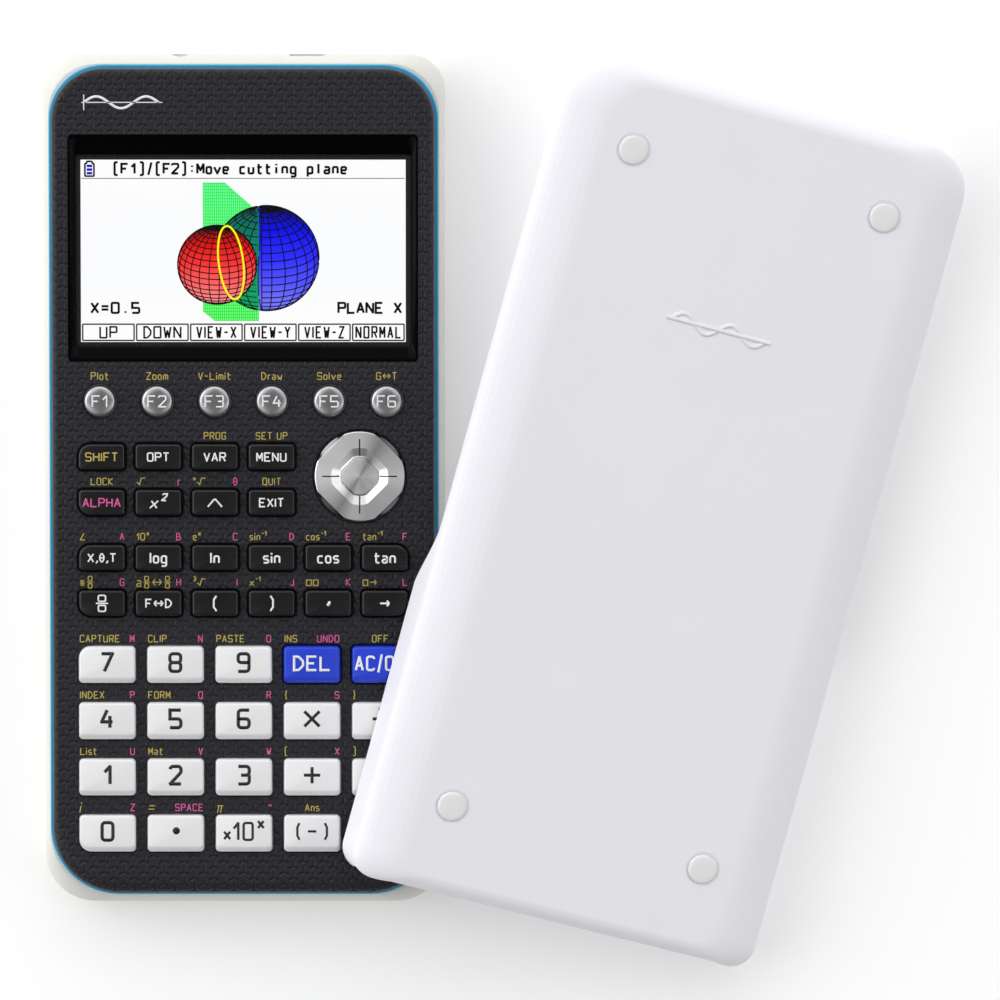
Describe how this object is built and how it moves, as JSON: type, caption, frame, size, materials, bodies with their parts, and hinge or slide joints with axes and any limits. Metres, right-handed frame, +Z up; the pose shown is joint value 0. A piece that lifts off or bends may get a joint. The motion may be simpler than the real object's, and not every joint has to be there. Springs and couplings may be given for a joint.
{
  "type": "graphing calculator",
  "caption": "Graphing calculator with a colour display, round and rectangular keys and a tilting cursor disc, its hard slide cover resting across one corner.",
  "frame": {"origin": "centre of the calculator's underside", "axes": "+Z up out of the keys, +Y towards the display end, +X to the right when the keys are read"},
  "size_m": [0.2041, 0.2026, 0.0328],
  "materials": {
    "front_black": "fine raised texture, satin",
    "trim_blue": "gloss",
    "case_white": "semi gloss",
    "window_clear": "clear gloss",
    "lcd_white": "satin",
    "board_green": "solder mask",
    "mat_grey": "matte",
    "cell_metal": "satin",
    "key_grey": "metallic grey lacquer",
    "key_black": "semi gloss",
    "key_white": "semi gloss",
    "key_blue": "semi gloss",
    "rocker_silver": "spun, satin",
    "pivot_plastic": "satin",
    "cover_white": "fine satin",
    "foot_rubber": "matte"
  },
  "bodies": {
    "calculator": {"front_case": "front_black", "trim_band": "trim_blue", "rear_case": "case_white", "display_window": "window_clear", "lcd_module": "lcd_white", "circuit_board": "board_green", "key_mat": "mat_grey", "battery_cells": "cell_metal"},
    "lid": {"battery_lid": "case_white"},
    "cover": {"slide_cover": "cover_white", "feet_upper": "foot_rubber", "feet_lower": "foot_rubber"},
    "rocker_gimbal": {"rocker_pivot": "pivot_plastic"},
    "rocker": {"rocker_disc": "rocker_silver"},
    "press_f1": {"key_f1": "key_grey"},
    "press_f2": {"key_f2": "key_grey"},
    "press_f3": {"key_f3": "key_grey"},
    "press_f4": {"key_f4": "key_grey"},
    "press_f5": {"key_f5": "key_grey"},
    "press_f6": {"key_f6": "key_grey"},
    "press_shift": {"key_shift": "key_black"},
    "press_option": {"key_option": "key_black"},
    "press_vars": {"key_vars": "key_black"},
    "press_menu": {"key_menu": "key_black"},
    "press_alpha": {"key_alpha": "key_black"},
    "press_square": {"key_square": "key_black"},
    "press_power": {"key_power": "key_black"},
    "press_exit": {"key_exit": "key_black"},
    "press_variable": {"key_variable": "key_black"},
    "press_log": {"key_log": "key_black"},
    "press_ln": {"key_ln": "key_black"},
    "press_sin": {"key_sin": "key_black"},
    "press_cos": {"key_cos": "key_black"},
    "press_tan": {"key_tan": "key_black"},
    "press_fraction": {"key_fraction": "key_black"},
    "press_convert": {"key_convert": "key_black"},
    "press_paren_open": {"key_paren_open": "key_black"},
    "press_paren_close": {"key_paren_close": "key_black"},
    "press_comma": {"key_comma": "key_black"},
    "press_store": {"key_store": "key_black"},
    "press_7": {"key_7": "key_white"},
    "press_8": {"key_8": "key_white"},
    "press_9": {"key_9": "key_white"},
    "press_delete": {"key_delete": "key_blue"},
    "press_clear": {"key_clear": "key_blue"},
    "press_4": {"key_4": "key_white"},
    "press_5": {"key_5": "key_white"},
    "press_6": {"key_6": "key_white"},
    "press_times": {"key_times": "key_white"},
    "press_divide": {"key_divide": "key_white"},
    "press_1": {"key_1": "key_white"},
    "press_2": {"key_2": "key_white"},
    "press_3": {"key_3": "key_white"},
    "press_plus": {"key_plus": "key_white"},
    "press_minus": {"key_minus": "key_white"},
    "press_0": {"key_0": "key_white"},
    "press_point": {"key_point": "key_white"},
    "press_exponent": {"key_exponent": "key_white"},
    "press_negate": {"key_negate": "key_white"},
    "press_execute": {"key_execute": "key_white"}
  },
  "joints": [
    {"name": "cover_lift", "type": "slide", "parent": "calculator", "child": "cover", "axis": [0, 0, 1], "range_m": [0, 0.06]},
    {"name": "lid_lift", "type": "slide", "parent": "calculator", "child": "lid", "axis": [0, 0, -1], "range_m": [0, 0.02]},
    {"name": "rocker_tilt_x", "type": "hinge", "parent": "calculator", "child": "rocker_gimbal", "pos_m": [0.0257, 0.0013, 0.01495], "axis": [1, 0, 0], "range_deg": [-3.5, 3.5], "stiffness_Nm_per_rad": 0.15},
    {"name": "rocker_tilt_y", "type": "hinge", "parent": "rocker_gimbal", "child": "rocker", "pos_m": [0.0257, 0.0013, 0.01495], "axis": [0, 1, 0], "range_deg": [-3.5, 3.5], "stiffness_Nm_per_rad": 0.15},
    {"name": "key_f1_press", "type": "slide", "parent": "calculator", "child": "press_f1", "axis": [0, 0, -1], "range_m": [0, 0.001], "stiffness_N_per_m": 200, "springref_m": -0.002},
    {"name": "key_f2_press", "type": "slide", "parent": "calculator", "child": "press_f2", "axis": [0, 0, -1], "range_m": [0, 0.001], "stiffness_N_per_m": 200, "springref_m": -0.002},
    {"name": "key_f3_press", "type": "slide", "parent": "calculator", "child": "press_f3", "axis": [0, 0, -1], "range_m": [0, 0.001], "stiffness_N_per_m": 200, "springref_m": -0.002},
    {"name": "key_f4_press", "type": "slide", "parent": "calculator", "child": "press_f4", "axis": [0, 0, -1], "range_m": [0, 0.001], "stiffness_N_per_m": 200, "springref_m": -0.002},
    {"name": "key_f5_press", "type": "slide", "parent": "calculator", "child": "press_f5", "axis": [0, 0, -1], "range_m": [0, 0.001], "stiffness_N_per_m": 200, "springref_m": -0.002},
    {"name": "key_f6_press", "type": "slide", "parent": "calculator", "child": "press_f6", "axis": [0, 0, -1], "range_m": [0, 0.001], "stiffness_N_per_m": 200, "springref_m": -0.002},
    {"name": "key_shift_press", "type": "slide", "parent": "calculator", "child": "press_shift", "axis": [0, 0, -1], "range_m": [0, 0.001], "stiffness_N_per_m": 200, "springref_m": -0.002},
    {"name": "key_option_press", "type": "slide", "parent": "calculator", "child": "press_option", "axis": [0, 0, -1], "range_m": [0, 0.001], "stiffness_N_per_m": 200, "springref_m": -0.002},
    {"name": "key_vars_press", "type": "slide", "parent": "calculator", "child": "press_vars", "axis": [0, 0, -1], "range_m": [0, 0.001], "stiffness_N_per_m": 200, "springref_m": -0.002},
    {"name": "key_menu_press", "type": "slide", "parent": "calculator", "child": "press_menu", "axis": [0, 0, -1], "range_m": [0, 0.001], "stiffness_N_per_m": 200, "springref_m": -0.002},
    {"name": "key_alpha_press", "type": "slide", "parent": "calculator", "child": "press_alpha", "axis": [0, 0, -1], "range_m": [0, 0.001], "stiffness_N_per_m": 200, "springref_m": -0.002},
    {"name": "key_square_press", "type": "slide", "parent": "calculator", "child": "press_square", "axis": [0, 0, -1], "range_m": [0, 0.001], "stiffness_N_per_m": 200, "springref_m": -0.002},
    {"name": "key_power_press", "type": "slide", "parent": "calculator", "child": "press_power", "axis": [0, 0, -1], "range_m": [0, 0.001], "stiffness_N_per_m": 200, "springref_m": -0.002},
    {"name": "key_exit_press", "type": "slide", "parent": "calculator", "child": "press_exit", "axis": [0, 0, -1], "range_m": [0, 0.001], "stiffness_N_per_m": 200, "springref_m": -0.002},
    {"name": "key_variable_press", "type": "slide", "parent": "calculator", "child": "press_variable", "axis": [0, 0, -1], "range_m": [0, 0.001], "stiffness_N_per_m": 200, "springref_m": -0.002},
    {"name": "key_log_press", "type": "slide", "parent": "calculator", "child": "press_log", "axis": [0, 0, -1], "range_m": [0, 0.001], "stiffness_N_per_m": 200, "springref_m": -0.002},
    {"name": "key_ln_press", "type": "slide", "parent": "calculator", "child": "press_ln", "axis": [0, 0, -1], "range_m": [0, 0.001], "stiffness_N_per_m": 200, "springref_m": -0.002},
    {"name": "key_sin_press", "type": "slide", "parent": "calculator", "child": "press_sin", "axis": [0, 0, -1], "range_m": [0, 0.001], "stiffness_N_per_m": 200, "springref_m": -0.002},
    {"name": "key_cos_press", "type": "slide", "parent": "calculator", "child": "press_cos", "axis": [0, 0, -1], "range_m": [0, 0.001], "stiffness_N_per_m": 200, "springref_m": -0.002},
    {"name": "key_tan_press", "type": "slide", "parent": "calculator", "child": "press_tan", "axis": [0, 0, -1], "range_m": [0, 0.001], "stiffness_N_per_m": 200, "springref_m": -0.002},
    {"name": "key_fraction_press", "type": "slide", "parent": "calculator", "child": "press_fraction", "axis": [0, 0, -1], "range_m": [0, 0.001], "stiffness_N_per_m": 200, "springref_m": -0.002},
    {"name": "key_convert_press", "type": "slide", "parent": "calculator", "child": "press_convert", "axis": [0, 0, -1], "range_m": [0, 0.001], "stiffness_N_per_m": 200, "springref_m": -0.002},
    {"name": "key_paren_open_press", "type": "slide", "parent": "calculator", "child": "press_paren_open", "axis": [0, 0, -1], "range_m": [0, 0.001], "stiffness_N_per_m": 200, "springref_m": -0.002},
    {"name": "key_paren_close_press", "type": "slide", "parent": "calculator", "child": "press_paren_close", "axis": [0, 0, -1], "range_m": [0, 0.001], "stiffness_N_per_m": 200, "springref_m": -0.002},
    {"name": "key_comma_press", "type": "slide", "parent": "calculator", "child": "press_comma", "axis": [0, 0, -1], "range_m": [0, 0.001], "stiffness_N_per_m": 200, "springref_m": -0.002},
    {"name": "key_store_press", "type": "slide", "parent": "calculator", "child": "press_store", "axis": [0, 0, -1], "range_m": [0, 0.001], "stiffness_N_per_m": 200, "springref_m": -0.002},
    {"name": "key_7_press", "type": "slide", "parent": "calculator", "child": "press_7", "axis": [0, 0, -1], "range_m": [0, 0.001], "stiffness_N_per_m": 200, "springref_m": -0.002},
    {"name": "key_8_press", "type": "slide", "parent": "calculator", "child": "press_8", "axis": [0, 0, -1], "range_m": [0, 0.001], "stiffness_N_per_m": 200, "springref_m": -0.002},
    {"name": "key_9_press", "type": "slide", "parent": "calculator", "child": "press_9", "axis": [0, 0, -1], "range_m": [0, 0.001], "stiffness_N_per_m": 200, "springref_m": -0.002},
    {"name": "key_delete_press", "type": "slide", "parent": "calculator", "child": "press_delete", "axis": [0, 0, -1], "range_m": [0, 0.001], "stiffness_N_per_m": 200, "springref_m": -0.002},
    {"name": "key_clear_press", "type": "slide", "parent": "calculator", "child": "press_clear", "axis": [0, 0, -1], "range_m": [0, 0.001], "stiffness_N_per_m": 200, "springref_m": -0.002},
    {"name": "key_4_press", "type": "slide", "parent": "calculator", "child": "press_4", "axis": [0, 0, -1], "range_m": [0, 0.001], "stiffness_N_per_m": 200, "springref_m": -0.002},
    {"name": "key_5_press", "type": "slide", "parent": "calculator", "child": "press_5", "axis": [0, 0, -1], "range_m": [0, 0.001], "stiffness_N_per_m": 200, "springref_m": -0.002},
    {"name": "key_6_press", "type": "slide", "parent": "calculator", "child": "press_6", "axis": [0, 0, -1], "range_m": [0, 0.001], "stiffness_N_per_m": 200, "springref_m": -0.002},
    {"name": "key_times_press", "type": "slide", "parent": "calculator", "child": "press_times", "axis": [0, 0, -1], "range_m": [0, 0.001], "stiffness_N_per_m": 200, "springref_m": -0.002},
    {"name": "key_divide_press", "type": "slide", "parent": "calculator", "child": "press_divide", "axis": [0, 0, -1], "range_m": [0, 0.001], "stiffness_N_per_m": 200, "springref_m": -0.002},
    {"name": "key_1_press", "type": "slide", "parent": "calculator", "child": "press_1", "axis": [0, 0, -1], "range_m": [0, 0.001], "stiffness_N_per_m": 200, "springref_m": -0.002},
    {"name": "key_2_press", "type": "slide", "parent": "calculator", "child": "press_2", "axis": [0, 0, -1], "range_m": [0, 0.001], "stiffness_N_per_m": 200, "springref_m": -0.002},
    {"name": "key_3_press", "type": "slide", "parent": "calculator", "child": "press_3", "axis": [0, 0, -1], "range_m": [0, 0.001], "stiffness_N_per_m": 200, "springref_m": -0.002},
    {"name": "key_plus_press", "type": "slide", "parent": "calculator", "child": "press_plus", "axis": [0, 0, -1], "range_m": [0, 0.001], "stiffness_N_per_m": 200, "springref_m": -0.002},
    {"name": "key_minus_press", "type": "slide", "parent": "calculator", "child": "press_minus", "axis": [0, 0, -1], "range_m": [0, 0.001], "stiffness_N_per_m": 200, "springref_m": -0.002},
    {"name": "key_0_press", "type": "slide", "parent": "calculator", "child": "press_0", "axis": [0, 0, -1], "range_m": [0, 0.001], "stiffness_N_per_m": 200, "springref_m": -0.002},
    {"name": "key_point_press", "type": "slide", "parent": "calculator", "child": "press_point", "axis": [0, 0, -1], "range_m": [0, 0.001], "stiffness_N_per_m": 200, "springref_m": -0.002},
    {"name": "key_exponent_press", "type": "slide", "parent": "calculator", "child": "press_exponent", "axis": [0, 0, -1], "range_m": [0, 0.001], "stiffness_N_per_m": 200, "springref_m": -0.002},
    {"name": "key_negate_press", "type": "slide", "parent": "calculator", "child": "press_negate", "axis": [0, 0, -1], "range_m": [0, 0.001], "stiffness_N_per_m": 200, "springref_m": -0.002},
    {"name": "key_execute_press", "type": "slide", "parent": "calculator", "child": "press_execute", "axis": [0, 0, -1], "range_m": [0, 0.001], "stiffness_N_per_m": 200, "springref_m": -0.002}
  ]
}
